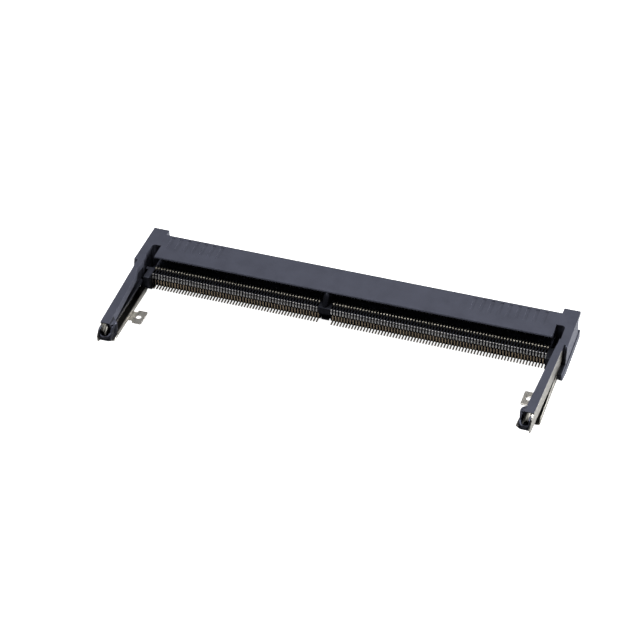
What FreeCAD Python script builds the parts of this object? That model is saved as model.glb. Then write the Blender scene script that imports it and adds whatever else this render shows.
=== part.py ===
"""Edge-card socket for a small-outline memory module, 5.2 mm high, for a printed circuit board.

Frame: Z = 0 is the face of the board, +Z is up, X runs along the socket with X = 0 in the
middle of the contact field, and Y = 0 is the line through the two locating pegs. The module
goes in from -Y and lies between the two arms, which reach towards -Y.
All sizes are in millimetres.
"""
import FreeCAD, Part
import os

V = FreeCAD.Vector

# The module that the socket takes
module_width = 69.6
module_thickness = 1.2
module_play = 0.15
module_seat_z = 2.98
module_stop_y = -1.4
notch_from_edge = 20.0
notch_radius = 2.0

# Contacts: their pitch, the key between the two groups, and the strip they are stamped from
contact_pitch = 0.5
contacts_per_block = 12
contact_edge_margin = 1.55
contact_width = 0.2
contact_slot_clearance = 0.05
key_x = -3.5
key_to_first_contact = 1.25
key_width = 1.0
key_root = 0.4
key_tip_setback = 0.3
key_tip_width = 0.3
key_ledge_width = 1.3
key_ledge_reach = 0.5
key_ledge_top_z = 0.65
strip_thickness = 0.2
tail_length = 0.9
front_leg_standoff = 0.1
back_leg_standoff = 0.05
nose_bulge = 0.12
beam_depth = 0.34
beam_length = 1.85
bump_height = 0.16
upper_front_gap = 0.25
upper_bump_gap = 0.6
upper_press = 0.06

# Housing: the bar
height = 5.2
standoff = 0.25
top_wall = 0.85
groove_roof = 0.4
groove_length = 1.3
bar_back_y = 2.15
bar_end_inset = 1.3
top_front_y = -3.7
comb_reach = 2.05
comb_depth = 2.75
comb_floor_z = 1.85
leg_bend_drop = 0.6
nose_height = 0.9
lower_front_setback = 0.95
top_edge_chamfer = 0.15

# Housing: the end blocks, the relief notch, the guard wall and the inner pad
block_wall = 1.65
block_inner_inset = 1.05
block_back_step = 1.3
corner_recess = 0.35
corner_recess_length = 1.25
corner_cap = 0.7
ledge_height = 1.45
ledge_projection = 0.15
relief_width = 1.5
relief_length = 2.8
relief_radius = 0.6
relief_floor_z = 0.9
relief_front_setback = 0.5
seat_floor_gap = 0.1
guard_wall = 0.35
guard_length = 3.45
guard_height = 1.95
guard_ramp_length = 0.9
sole_length = 0.76
pad_width = 1.05
pad_inset = 0.45
pad_length = 3.6
pad_reach = 1.25

# Marks moulded in the top of the bar
mark_width = 0.55
mark_length = 3.1
mark_depth = 0.12
mark_back_margin = 0.45
mark_pitch = 1.46
marks_left = 7
marks_right = 9
mark_left_margin = 1.25
mark_right_margin = 2.15

# Feet and locating pegs
foot_length = 4.0
foot_depth = 2.2
foot_pitch = 12.0
feet_each_side = 2
peg_inset = 2.75
peg_radius_left = 0.55
peg_radius_right = 0.8
peg_length = 1.0

# Latch arms: plastic. Places along X are measured inwards from the pivot
pivot_offset = 0.5
pivot_y = -5.4
knuckle_radius = 0.52
knuckle_clearance = 0.06
arm_bottom_z = 2.15
arm_past_notch = 1.0
arm_taper = 0.57
lip_thickness = 0.94
lip_top_root = 0.57
lip_top_tip = 1.55
lip_low_root = 0.67
lip_low_tip = 1.9
rail_width = 0.65
rail_rise = 0.35
rail_top_z = 2.9
rail_start_gap = 1.85
nose_length = 1.5
nose_back = 1.2
nose_bevel = 0.4
nose_wall = 0.28
notch_clearance = 0.5
stud_radius = 0.8
stud_drop = 0.45
cup_drop = 0.7

# Latch springs: stamped plate on the outside of each arm
plate_thickness = 0.2
plate_top_z = 5.0
plate_low_z = 2.7
plate_start_gap = 0.9
plate_gap = 0.02
plate_overhang = 1.9
hook_length = 1.5
hook_reach = 1.3
hook_drop = 0.05
hook_clearance = 0.25
hook_roll = 0.25
flange_z = 2.28
flange_reach = 2.55
flange_length = 3.1

# Hold-downs: stamped channels soldered to the board under each arm
sheet = 0.2
channel_offset = 0.4
channel_width = 1.9
channel_outer_height = 1.9
channel_inner_height = 0.6
channel_corner = 0.5
channel_start_gap = 1.85
channel_short_of_tip = 3.2
inner_side_longer = 1.0
anchor_length = 3.25
anchor_clearance = 0.03
tab_from_tip = 8.6
tab_length = 1.65
tab_width = 3.2
neck_width = 2.2
neck_length = 0.6
tab_hole_radius = 0.45
tab_hole_inset = 1.0

# Places along Z and Y that follow from the sizes above
slot_ceiling_z = height - top_wall
groove_top_z = height - groove_roof
module_top_z = module_seat_z + module_thickness
lip_underside_z = height - lip_thickness
comb_front_y = top_front_y - comb_reach
comb_back_y = comb_front_y + comb_depth
lower_front_y = comb_front_y + lower_front_setback
bay_front_y = top_front_y + groove_length
block_back_y = bar_back_y + block_back_step
mark_back_y = bar_back_y - mark_back_margin
guard_front_y = pivot_y - guard_length
sole_front_y = pivot_y - sole_length
pad_front_y = comb_front_y - pad_reach
relief_front_y = top_front_y - relief_front_setback
rail_start_y = pivot_y - rail_start_gap
notch_y = module_stop_y - notch_from_edge
arm_end_y = notch_y - arm_past_notch
arm_front_y = arm_end_y - nose_length
plate_start_y = pivot_y - plate_start_gap
plate_end_y = arm_end_y - plate_overhang
flange_back_y = plate_end_y + flange_length
channel_back_y = pivot_y - channel_start_gap
channel_front_y = arm_end_y + channel_short_of_tip
anchor_back_y = channel_back_y + anchor_length
tab_centre_y = arm_end_y + tab_from_tip

# Places along X that follow, all from the module's edge
slot_end_x = module_width / 2 + module_play
bar_half_length = slot_end_x - bar_end_inset
block_outer_x = slot_end_x + block_wall
block_inner_x = slot_end_x - block_inner_inset
guard_inner_x = block_outer_x - guard_wall
peg_x = slot_end_x - peg_inset
pivot_x = slot_end_x + pivot_offset
nose_inner_x = module_width / 2 - notch_radius + notch_clearance
hook_inner_x = pivot_x - hook_reach
flange_inner_x = pivot_x - flange_reach
channel_outer_x = pivot_x + channel_offset
channel_inner_x = channel_outer_x - channel_width
tab_outer_x = channel_inner_x - neck_length
tab_inner_x = tab_outer_x - tab_length
slot_width = contact_width + 2 * contact_slot_clearance


def box(x0, x1, y0, y1, z0, z1):
    """A box between two corners, whichever order they come in."""
    low = V(min(x0, x1), min(y0, y1), min(z0, z1))
    return Part.makeBox(abs(x1 - x0), abs(y1 - y0), abs(z1 - z0), low)


def face_of(points):
    """A flat face inside a closed run of points."""
    return Part.Face(Part.makePolygon(list(points) + [points[0]]))


def across(outline, x0, x1):
    """A side outline of (y, z) points, carried along X from x0 to x1."""
    face = face_of([V(x0, y, z) for y, z in outline])
    return face.extrude(V(x1 - x0, 0, 0))


def along(outline, y0, y1):
    """A front outline of (x, z) points, carried along Y from y0 to y1."""
    face = face_of([V(x, y0, z) for x, z in outline])
    return face.extrude(V(0, y1 - y0, 0))


def upwards(outline, z0, z1):
    """A plan outline of (x, y) points, carried up from z0 to z1."""
    face = face_of([V(x, y, z0) for x, y in outline])
    return face.extrude(V(0, 0, z1 - z0))


def post(x, y, radius, z0, z1):
    """An upright round post."""
    return Part.makeCylinder(radius, z1 - z0, V(x, y, z0))


def fused(solids):
    """One clean solid from several that touch or overlap."""
    whole = solids[0].fuse(solids[1:])
    return whole.removeSplitter()


def mirrored(shape):
    """The same shape at the other end of the socket."""
    return shape.mirror(V(0, 0, 0), V(1, 0, 0))


def contact_positions():
    """X of the contacts left and right of the key, as many as the module's edge has room for.

    That is 58 and 72 on this socket.
    """
    reach = module_width / 2 - contact_edge_margin
    first_left = key_x - key_to_first_contact
    first_right = key_x + key_to_first_contact
    rounding = 1e-6
    left_steps = int((reach + first_left) / contact_pitch + rounding)
    right_steps = int((reach - first_right) / contact_pitch + rounding)
    left = [first_left - contact_pitch * i for i in range(left_steps, -1, -1)]
    right = [first_right + contact_pitch * i for i in range(right_steps + 1)]
    return left, right


def arm_outer_x(y):
    """The outer edge of an arm, which draws in a little towards its tip."""
    run = (pivot_y - y) / (pivot_y - arm_end_y)
    return pivot_x + knuckle_radius - arm_taper * run


def lip_inner_x(y, root, tip):
    """The inner edge of an arm's lip, which widens from the root to the tip."""
    run = (pivot_y - y) / (pivot_y - arm_end_y)
    return pivot_x - root - (tip - root) * run


# Contacts

def lower_contact(x):
    """A contact that presses the underside of the module, with its tail at the front."""
    leg_back_y = lower_front_y - front_leg_standoff
    leg_front_y = leg_back_y - strip_thickness
    nose_y = comb_front_y - nose_bulge
    outline = [
        (leg_front_y - tail_length, 0),
        (leg_back_y, 0),
        (leg_back_y, comb_floor_z - leg_bend_drop / 2),
        (nose_y + beam_depth, module_seat_z - beam_depth),
        (comb_front_y + beam_length, module_seat_z + bump_height),
        (nose_y + nose_bulge, module_seat_z),
        (nose_y, module_seat_z - nose_height),
        (leg_front_y, comb_floor_z - leg_bend_drop),
        (leg_front_y, strip_thickness),
    ]
    return across(outline, x - contact_width / 2, x + contact_width / 2)


def upper_contact(x):
    """A contact that presses the top of the module, with its leg and tail at the back."""
    leg_front_y = bar_back_y + back_leg_standoff
    leg_back_y = leg_front_y + strip_thickness
    beam_z = slot_ceiling_z + contact_slot_clearance
    outline = [
        (leg_front_y, 0),
        (leg_back_y + tail_length, 0),
        (leg_back_y, strip_thickness),
        (leg_back_y, groove_top_z - front_leg_standoff),
        (top_front_y + upper_front_gap, groove_top_z - front_leg_standoff),
        (top_front_y + upper_bump_gap, module_top_z - upper_press),
        (module_stop_y - upper_front_gap, beam_z),
        (leg_front_y, beam_z),
    ]
    return across(outline, x - contact_width / 2, x + contact_width / 2)


def contact_blocks():
    """X of the contacts, in blocks that don't cross the key."""
    blocks = []
    for row in contact_positions():
        for start in range(0, len(row), contacts_per_block):
            blocks.append(row[start:start + contacts_per_block])
    return blocks


# Housing

def bar():
    """The long bar: the lower wall, the back and the top wall, round the module's slot."""
    outline = [
        (lower_front_y, standoff),
        (lower_front_y, comb_floor_z),
        (comb_front_y, comb_floor_z),
        (comb_front_y, module_seat_z),
        (module_stop_y, module_seat_z),
        (module_stop_y, slot_ceiling_z),
        (top_front_y, slot_ceiling_z),
        (top_front_y, height - top_edge_chamfer),
        (top_front_y + top_edge_chamfer, height),
        (bar_back_y, height),
        (bar_back_y, standoff),
    ]
    return across(outline, -bar_half_length, bar_half_length)


def feet():
    """Low feet that hold the bar off the board, one of them round the origin and two round the pegs."""
    pads = []
    for i in range(-feet_each_side, feet_each_side + 1):
        x = foot_pitch * i
        pads.append(box(x - foot_length / 2, x + foot_length / 2,
                        -foot_depth / 2, foot_depth / 2, 0, standoff))
    for side in (-1, 1):
        pads.append(box(side * (peg_x - foot_length / 2), side * bar_half_length,
                        -foot_depth / 2, foot_depth / 2, 0, standoff))
    return pads


def key_rib():
    """The rounded rib that fills the module's key notch and stops a module put in the wrong way.

    It narrows from a full round under the top wall to a small tip at the front of the comb.
    """
    def arch(y, width, top_z):
        """A round-topped outline across the rib, standing on the comb."""
        half = width / 2
        low_z = module_seat_z - key_root
        left, right = V(key_x - half, y, low_z), V(key_x + half, y, low_z)
        left_top, right_top = V(key_x - half, y, top_z - half), V(key_x + half, y, top_z - half)
        crown = Part.Arc(left_top, V(key_x, y, top_z), right_top).toShape()
        sides = [Part.makeLine(left, left_top), crown, Part.makeLine(right_top, right),
                 Part.makeLine(right, left)]
        return Part.Wire(sides)

    crown_z = slot_ceiling_z + key_width / 2
    middle_y = (top_front_y + comb_front_y) / 2
    middle_z = (slot_ceiling_z + module_seat_z) / 2 + key_width / 4
    tip = arch(comb_front_y + key_tip_setback, key_tip_width, module_seat_z + key_tip_width / 2)
    middle = arch(middle_y, (key_width + key_tip_width) / 2, middle_z)
    root = arch(top_front_y, key_width, crown_z)
    stem = arch(module_stop_y + key_root, key_width, crown_z)
    return Part.makeLoft([tip, middle, root, stem], True, True)


def key_ledge():
    """The low ledge in front of the bar, below the key."""
    half = key_ledge_width / 2
    return box(key_x - half, key_x + half, lower_front_y - key_ledge_reach, lower_front_y + key_root,
               standoff, key_ledge_top_z)


def end_block():
    """The right end: block, ledge, guard wall, sole and the pad beside the contacts."""
    block = box(slot_end_x, block_outer_x, pivot_y, block_back_y, 0, height)
    inner = box(block_inner_x, slot_end_x, bar_back_y, block_back_y, 0, height)
    back = box(bar_half_length, slot_end_x, module_stop_y, bar_back_y, 0, height)
    lower = box(bar_half_length, slot_end_x, lower_front_y, module_stop_y, 0, module_seat_z)
    ledge = box(block_outer_x, block_outer_x + ledge_projection, guard_front_y, block_back_y,
                0, ledge_height)
    guard = across([
        (pivot_y, 0),
        (guard_front_y, 0),
        (guard_front_y, guard_height),
        (pivot_y - guard_ramp_length, guard_height),
        (pivot_y - guard_ramp_length / 2, height),
        (pivot_y, height),
    ], guard_inner_x, block_outer_x)
    sole = box(slot_end_x - pad_inset, guard_inner_x, sole_front_y, pivot_y,
               0, arm_bottom_z - seat_floor_gap)
    pad_outer_x = slot_end_x - pad_inset
    pad = box(pad_outer_x - pad_width, pad_outer_x, pad_front_y, pad_front_y + pad_length,
              0, module_seat_z)
    return [block, inner, back, lower, ledge, guard, sole, pad]


def end_cuts():
    """What is cut out of the right end: relief notch, arm seat, corner recess, anchor slot."""
    notch_outer_x = bar_half_length + relief_width
    notch_back_y = top_front_y + relief_length
    relief = box(bar_half_length, notch_outer_x, relief_front_y, notch_back_y,
                 relief_floor_z, height + 1)
    corner = [e for e in relief.Edges
              if abs(e.Vertexes[0].X - notch_outer_x) < 1e-6
              and abs(e.Vertexes[1].X - notch_outer_x) < 1e-6
              and abs(e.Vertexes[0].Y - notch_back_y) < 1e-6
              and abs(e.Vertexes[1].Y - notch_back_y) < 1e-6]
    relief = relief.makeFillet(relief_radius, corner)
    seat = post(pivot_x, pivot_y, knuckle_radius + knuckle_clearance,
                arm_bottom_z - seat_floor_gap, height + 1)
    recess = box(block_outer_x - corner_recess, block_outer_x + 1,
                 block_back_y - corner_recess_length, block_back_y + 1,
                 ledge_height, height - corner_cap)
    anchor = box(channel_outer_x - sheet - anchor_clearance, channel_outer_x + anchor_clearance,
                 sole_front_y - 1, anchor_back_y + anchor_clearance,
                 -1, channel_outer_height + anchor_clearance)
    module_corner = box(bar_half_length - 0.1, slot_end_x, lower_front_y, module_stop_y,
                        module_seat_z, slot_ceiling_z)
    return [relief, seat, recess, anchor, module_corner]


def contact_cuts():
    """Slots for the lower contacts, with a sloping back, and grooves for the upper ones.

    The grooves of a block end in one bay, through which its contacts leave at the back.
    """
    slot = [
        (comb_front_y - 0.5, comb_floor_z),
        (lower_front_y, comb_floor_z),
        (comb_back_y, module_seat_z),
        (comb_back_y, module_seat_z + 0.5),
        (comb_front_y - 0.5, module_seat_z + 0.5),
    ]
    half = slot_width / 2
    cuts = []
    for block in contact_blocks():
        cuts.append(box(block[0] - half, block[-1] + half, bay_front_y, bar_back_y + 0.5,
                        slot_ceiling_z, groove_top_z))
        for x in block:
            cuts.append(across(slot, x - half, x + half))
            cuts.append(box(x - half, x + half, top_front_y - 0.5, bay_front_y,
                            slot_ceiling_z, groove_top_z))
    return cuts


def top_marks():
    """Shallow grooves in the top of the bar near its ends."""
    first_left = -bar_half_length + mark_left_margin
    first_right = bar_half_length - mark_right_margin
    places = [first_left + mark_pitch * i for i in range(marks_left)]
    places += [first_right - mark_pitch * i for i in range(marks_right)]
    return [box(x - mark_width / 2, x + mark_width / 2, mark_back_y - mark_length, mark_back_y,
                height - mark_depth, height + 1) for x in places]


def peg(x, radius):
    """A locating peg, rooted in the housing."""
    return post(x, 0, radius, -peg_length, standoff + 0.5)


def housing():
    """The moulded housing."""
    right = end_block()
    left = [mirrored(s) for s in right]
    whole = fused([bar(), key_ledge(), *feet(), *right, *left])
    cuts = end_cuts()
    cuts += [mirrored(s) for s in cuts]
    whole = whole.cut(cuts + contact_cuts() + top_marks())
    extras = [key_rib(), peg(-peg_x, peg_radius_left), peg(peg_x, peg_radius_right)]
    return whole.fuse(extras).removeSplitter()


# Latch arms

def arm_body():
    """The upright wall of the right arm, with the round knuckle at its root."""
    wall_inner_x = pivot_x - knuckle_radius
    cover = plate_thickness + plate_gap
    wall = upwards([
        (wall_inner_x, pivot_y),
        (arm_outer_x(pivot_y), pivot_y),
        (arm_outer_x(plate_start_y), plate_start_y),
        (arm_outer_x(plate_start_y) - cover, plate_start_y - plate_gap),
        (arm_outer_x(arm_front_y) - cover, arm_front_y),
        (wall_inner_x, arm_front_y),
    ], arm_bottom_z, height)
    under_hook = box(wall_inner_x - 1, pivot_x + 1, arm_end_y, arm_front_y - 1,
                     plate_top_z - plate_thickness, height + 1)
    over_flange = box(wall_inner_x - 1, pivot_x + 1, flange_back_y + seat_floor_gap, arm_front_y - 1,
                      arm_bottom_z - 1, flange_z + cover)
    knuckle = post(pivot_x, pivot_y, knuckle_radius, arm_bottom_z, height)
    return [wall.cut([under_hook, over_flange]), knuckle]


def arm_lip():
    """The lip that lies over the module, with its sloping inner face that the module cams."""
    start_y = pivot_y - knuckle_radius / 2
    cover = plate_thickness + plate_gap

    def plan(z, root, tip):
        return Part.makePolygon([V(x, y, z) for x, y in [
            (pivot_x, start_y),
            (lip_inner_x(start_y, root, tip), start_y),
            (lip_inner_x(arm_end_y, root, tip), arm_end_y),
            (arm_outer_x(arm_end_y), arm_end_y),
            (arm_outer_x(plate_start_y), plate_start_y),
            (pivot_x, start_y),
        ]])

    lower = plan(lip_underside_z, lip_low_root, lip_low_tip)
    upper = plan(height, lip_top_root, lip_top_tip)
    lip = Part.makeLoft([lower, upper], True, True)
    plate_room = upwards([
        (arm_outer_x(plate_start_y) - cover, plate_start_y),
        (pivot_x + 1, plate_start_y),
        (pivot_x + 1, arm_front_y),
        (arm_outer_x(arm_front_y) - cover, arm_front_y),
    ], arm_bottom_z, plate_top_z + plate_gap)
    return lip.cut(plate_room)


def arm_nose():
    """The rail under the module, the stud for the module's side notch and the cupped tip."""
    wall_x = pivot_x - knuckle_radius + plate_thickness / 2
    rail = upwards([
        (wall_x, rail_start_y),
        (wall_x - rail_width, rail_start_y - nose_bevel),
        (wall_x - rail_width, arm_end_y + nose_back + rail_width + nose_bevel),
        (nose_inner_x, arm_end_y + nose_back),
        (nose_inner_x, arm_front_y + nose_bevel),
        (nose_inner_x + nose_bevel, arm_front_y),
        (wall_x, arm_front_y),
    ], arm_bottom_z + rail_rise, rail_top_z)
    stud_x = nose_inner_x + stud_radius
    stud = post(stud_x, notch_y, stud_radius, rail_top_z - plate_thickness, height - stud_drop)
    tie = box(stud_x, wall_x, notch_y - stud_radius, notch_y + stud_radius,
              rail_top_z - plate_thickness, height - stud_drop)
    cup = across([
        (arm_end_y + nose_bevel, rail_top_z - plate_thickness),
        (arm_end_y + nose_bevel, height - cup_drop),
        (arm_end_y, height - cup_drop),
        (arm_front_y + nose_bevel, rail_top_z + rail_rise),
        (arm_front_y + nose_bevel, rail_top_z - plate_thickness),
    ], nose_inner_x, nose_inner_x + nose_wall)
    return [rail, stud, tie, cup]


def latch_arm():
    """The right latch arm as one moulding."""
    return fused([*arm_body(), arm_lip(), *arm_nose()])


# Latch springs

def latch_spring():
    """The stamped plate that backs the right arm and wraps round its tip."""
    t = plate_thickness
    start_y = plate_start_y - plate_gap
    side = upwards([
        (arm_outer_x(start_y), start_y),
        (arm_outer_x(plate_end_y), plate_end_y),
        (arm_outer_x(plate_end_y) - t, plate_end_y),
        (arm_outer_x(start_y) - t, start_y),
    ], flange_z, plate_top_z)
    side = side.cut(box(pivot_x - 2, pivot_x + 2, flange_back_y, plate_start_y + 1,
                        flange_z - 1, plate_low_z))
    x = arm_outer_x(arm_end_y)
    top_z = height - hook_drop
    low_z = module_top_z + hook_clearance
    hook = along([
        (x - t, plate_top_z - 2 * t),
        (x, plate_top_z - 2 * t),
        (x, top_z - hook_roll),
        (x - hook_roll, top_z),
        (hook_inner_x + hook_roll, top_z),
        (hook_inner_x, top_z - hook_roll),
        (hook_inner_x, low_z),
        (hook_inner_x + t, low_z),
        (hook_inner_x + t, top_z - hook_roll - t / 2),
        (hook_inner_x + hook_roll + t / 2, top_z - t),
        (x - hook_roll - t / 2, top_z - t),
        (x - t, top_z - hook_roll - t / 2),
    ], arm_end_y - hook_drop, arm_end_y - hook_length)
    lip_x = flange_inner_x + hook_roll / 2
    flange = along([
        (x, flange_z),
        (x, flange_z + t),
        (lip_x, flange_z + t),
        (flange_inner_x, flange_z + 2 * t),
        (flange_inner_x - t / 2, flange_z + 1.5 * t),
        (lip_x - t / 2, flange_z),
    ], flange_back_y, plate_end_y + t)
    keep = upwards([
        (arm_outer_x(start_y), start_y),
        (arm_outer_x(plate_end_y), plate_end_y),
        (flange_inner_x - 1, plate_end_y),
        (flange_inner_x - 1, start_y),
    ], flange_z - 1, height + 1)
    return fused([side, hook.common(keep), flange.common(keep)])


# Hold-downs

def hold_down():
    """The right hold-down: a channel on the board with an anchor and a solder tab."""
    outer = box(channel_outer_x - sheet, channel_outer_x, channel_front_y, anchor_back_y,
                0, channel_outer_height)
    trim = box(channel_outer_x - 1, channel_outer_x + 1,
               channel_front_y - 1, channel_front_y + channel_corner,
               channel_outer_height - channel_corner, channel_outer_height + 1)
    base = box(channel_inner_x, channel_outer_x, channel_front_y, channel_back_y, 0, sheet)
    inner = box(channel_inner_x, channel_inner_x + sheet,
                channel_front_y - inner_side_longer, channel_back_y, 0, channel_inner_height)
    neck = box(tab_outer_x, channel_inner_x,
               tab_centre_y - neck_width / 2, tab_centre_y + neck_width / 2, 0, sheet)
    tab = box(tab_inner_x, tab_outer_x,
              tab_centre_y - tab_width / 2, tab_centre_y + tab_width / 2, 0, sheet)
    whole = fused([outer.cut(trim), base, inner, neck, tab])
    return whole.cut(post(tab_inner_x + tab_hole_inset, tab_centre_y, tab_hole_radius, -1, 1))


def write(name, shape):
    """Keep one piece, or one group of like pieces, under its own name."""
    shape.exportStep("parts/" + name + ".step")


def main():
    os.makedirs("parts", exist_ok=True)
    write("housing", housing())
    for name, make in [("latch_arm", latch_arm), ("latch_spring", latch_spring),
                       ("hold_down", hold_down)]:
        shape = make()
        write(name + "_right", shape)
        write(name + "_left", mirrored(shape))
    for name, make in [("lower_contacts", lower_contact), ("upper_contacts", upper_contact)]:
        for number, block in enumerate(contact_blocks(), start=1):
            write(name + "_%02d" % number, Part.makeCompound([make(x) for x in block]))


main()
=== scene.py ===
# %% [markdown]
# # A socket for a small memory module
#
# A laptop's memory module slides into a low plastic bar on the main board, and two sprung arms
# hold its sides. This lesson dresses the engineering model of such a socket: it keeps the real
# sizes, and gives every piece the rounded edges, bends, plating and grain that the real one has.
#
# The engineering model comes first, because everything else is fitted round it. Its sizes are in
# metres, so one value turns the millimetres of a drawing into Blender's units.

# %% Load the engineering model
import math
import bmesh
import bpy
from mathutils import Matrix, Vector


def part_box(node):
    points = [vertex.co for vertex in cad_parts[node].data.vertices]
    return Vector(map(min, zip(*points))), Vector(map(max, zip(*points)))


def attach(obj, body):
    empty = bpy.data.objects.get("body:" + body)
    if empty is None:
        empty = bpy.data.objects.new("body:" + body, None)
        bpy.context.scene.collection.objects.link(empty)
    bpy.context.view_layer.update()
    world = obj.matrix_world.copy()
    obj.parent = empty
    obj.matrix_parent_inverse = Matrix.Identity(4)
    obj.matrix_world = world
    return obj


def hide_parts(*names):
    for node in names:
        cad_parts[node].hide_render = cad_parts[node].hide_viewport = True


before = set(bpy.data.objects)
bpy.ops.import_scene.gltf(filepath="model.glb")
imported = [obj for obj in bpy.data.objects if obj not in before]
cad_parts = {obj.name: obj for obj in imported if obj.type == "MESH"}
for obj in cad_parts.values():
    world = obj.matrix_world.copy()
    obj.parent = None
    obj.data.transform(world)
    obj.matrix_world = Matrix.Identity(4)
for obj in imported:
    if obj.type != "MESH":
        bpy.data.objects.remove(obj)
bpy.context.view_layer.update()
MM = 0.001

# %% [markdown]
# ## Sizes read from the model
#
# Where a place can be read from the model's own boxes, it is read. The outlines further down also
# hold places of their own, read from the photograph through the fitted camera. All the values
# below are in millimetres.


# %% Read where the pieces are
def extent(node):
    """The lowest and highest corner of a piece of the model, in millimetres."""
    low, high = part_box(node)
    return low / MM, high / MM


housing_low, housing_high = extent("housing")
lower_blocks = sorted(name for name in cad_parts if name.startswith("lower_contacts"))
upper_blocks = sorted(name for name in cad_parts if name.startswith("upper_contacts"))
top_z = housing_high.z
print("housing from", tuple(round(v, 2) for v in housing_low),
      "to", tuple(round(v, 2) for v in housing_high))

# %% Find the rows of contacts on both sides of the key
CONTACT_PITCH = 0.5
CONTACT_WIDTH = 0.2


def contact_rows(blocks):
    """First X and count of the contacts left and right of the widest gap between blocks."""
    spans = sorted((extent(name)[0].x, extent(name)[1].x) for name in blocks)
    gaps = [after[0] - before[1] for before, after in zip(spans, spans[1:])]
    split = gaps.index(max(gaps)) + 1
    rows = []
    for part in (spans[:split], spans[split:]):
        first = part[0][0] + CONTACT_WIDTH / 2
        last = part[-1][1] - CONTACT_WIDTH / 2
        rows.append((first, round((last - first) / CONTACT_PITCH) + 1))
    return rows


left_row, right_row = contact_rows(lower_blocks)
key_x = (left_row[0] + (left_row[1] - 1) * CONTACT_PITCH + right_row[0]) / 2
print("contacts left and right of the key:", left_row[1], right_row[1], "key at", round(key_x, 3))

# %% [markdown]
# ## Small tools for shapes
#
# Stamped and moulded pieces share one habit: a corner is never sharp. So outlines are written as
# corner points with a radius each, and one function turns them into smooth runs with an arc at
# every corner. Another function carries such an outline along an axis into a solid.


# %% Outlines with rounded corners
def rounded(corners, closed=True, steps=3):
    """Corner points (a, b, radius) turned into a run of points with an arc at each corner."""
    run = []
    for i, (a, b, radius) in enumerate(corners):
        here = Vector((a, b))
        if radius == 0 or (not closed and i in (0, len(corners) - 1)):
            run.append(here)
            continue
        before = Vector(corners[i - 1][:2]) - here
        after = Vector(corners[(i + 1) % len(corners)][:2]) - here
        half = before.angle(after) / 2
        reach = radius / math.tan(half)
        centre = here + (before.normalized() + after.normalized()).normalized() * radius / math.sin(half)
        start = here + before.normalized() * reach - centre
        end = here + after.normalized() * reach - centre
        for k in range(steps + 1):
            share = k / steps
            run.append(centre + start.lerp(end, share).normalized() * radius)
    return run


def capped(bm, near, far):
    """Closes two matching runs of points into a solid."""
    bm.faces.new(near)
    bm.faces.new(reversed(far))
    for i in range(len(near)):
        j = (i + 1) % len(near)
        bm.faces.new((near[i], far[i], far[j], near[j]))


def solid_across(bm, outline, x0, x1):
    """Adds the closed solid of a (y, z) outline carried along X."""
    near = [bm.verts.new((x0 * MM, p.x * MM, p.y * MM)) for p in outline]
    far = [bm.verts.new((x1 * MM, p.x * MM, p.y * MM)) for p in outline]
    capped(bm, near, far)


def solid_along(bm, outline, y0, y1, lean=0.0):
    """Adds the closed solid of an (x, z) outline carried along Y, leaning in X by lean per mm."""
    near = [bm.verts.new((p.x * MM, y0 * MM, p.y * MM)) for p in outline]
    far = [bm.verts.new(((p.x + lean * (y1 - y0)) * MM, y1 * MM, p.y * MM)) for p in outline]
    capped(bm, near, far)


def strip_outline(centre, thickness):
    """The outline of a strip of even thickness that follows a run of points."""
    left, right = [], []
    for i, here in enumerate(centre):
        before = centre[max(i - 1, 0)]
        after = centre[min(i + 1, len(centre) - 1)]
        heading = (after - before).normalized()
        side = Vector((-heading.y, heading.x)) * thickness / 2
        left.append(here + side)
        right.append(here - side)
    return left + right[::-1]


# %% Turn a bmesh into a finished object
SMOOTH_ANGLE = math.radians(50)
MERGE_DISTANCE = 0.0005 * MM
CUT_TOLERANCE = 0.0001 * MM


def finished(name, bm, material):
    """A mesh object with outward faces, smooth across gentle angles, wearing one material."""
    bmesh.ops.remove_doubles(bm, verts=bm.verts, dist=MERGE_DISTANCE)
    bmesh.ops.recalc_face_normals(bm, faces=bm.faces)
    mesh = bpy.data.meshes.new(name)
    bm.to_mesh(mesh)
    bm.free()
    mesh.materials.append(material)
    made = bpy.data.objects.new(name, mesh)
    bpy.context.scene.collection.objects.link(made)
    soften(made)
    return made


def soften(made):
    """Smooth shading, kept crisp at the sharp edges."""
    made.data.polygons.foreach_set("use_smooth", [True] * len(made.data.polygons))
    made.data.set_sharp_from_angle(angle=SMOOTH_ANGLE)


def flatten_large_faces(made):
    """Lets the large faces set the normals, so that only the narrow rounds are shaded as curved."""
    weighted = made.modifiers.new("even_normals", "WEIGHTED_NORMAL")
    weighted.keep_sharp = True
    weighted.weight = 100
    baked(made)


def cut_across(bm, y):
    """Adds edges where the plane at Y meets the mesh, so that points there can be moved."""
    everything = bm.verts[:] + bm.edges[:] + bm.faces[:]
    bmesh.ops.bisect_plane(bm, geom=everything, dist=CUT_TOLERANCE,
                           plane_co=(0, y * MM, 0), plane_no=(0, 1, 0))


def baked(made):
    """The object with its modifiers applied for good."""
    graph = bpy.context.evaluated_depsgraph_get()
    mesh = bpy.data.meshes.new_from_object(made.evaluated_get(graph))
    made.modifiers.clear()
    made.data = mesh
    return made


# %% [markdown]
# ## Effects that several materials share
#
# Four things are seen on more than one surface: the fine grain that a mould leaves, the paler
# line along an edge where plastic or plating has rubbed, painted shade that darkens a hollow,
# and the cloudy streaks of rolled strip. Each is built once as a node group, with inputs for its
# scale and strength, and then placed in each material that needs it.


# %% Tools for node trees
def new_group(name, inputs, outputs):
    """An empty shader group with its named sockets, and the nodes that lead in and out."""
    tree = bpy.data.node_groups.new(name, "ShaderNodeTree")
    for label, kind, value in inputs:
        socket = tree.interface.new_socket(label, in_out="INPUT", socket_type=kind)
        socket.default_value = value
    for label, kind in outputs:
        tree.interface.new_socket(label, in_out="OUTPUT", socket_type=kind)
    return tree, tree.nodes.new("NodeGroupInput"), tree.nodes.new("NodeGroupOutput")


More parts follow.
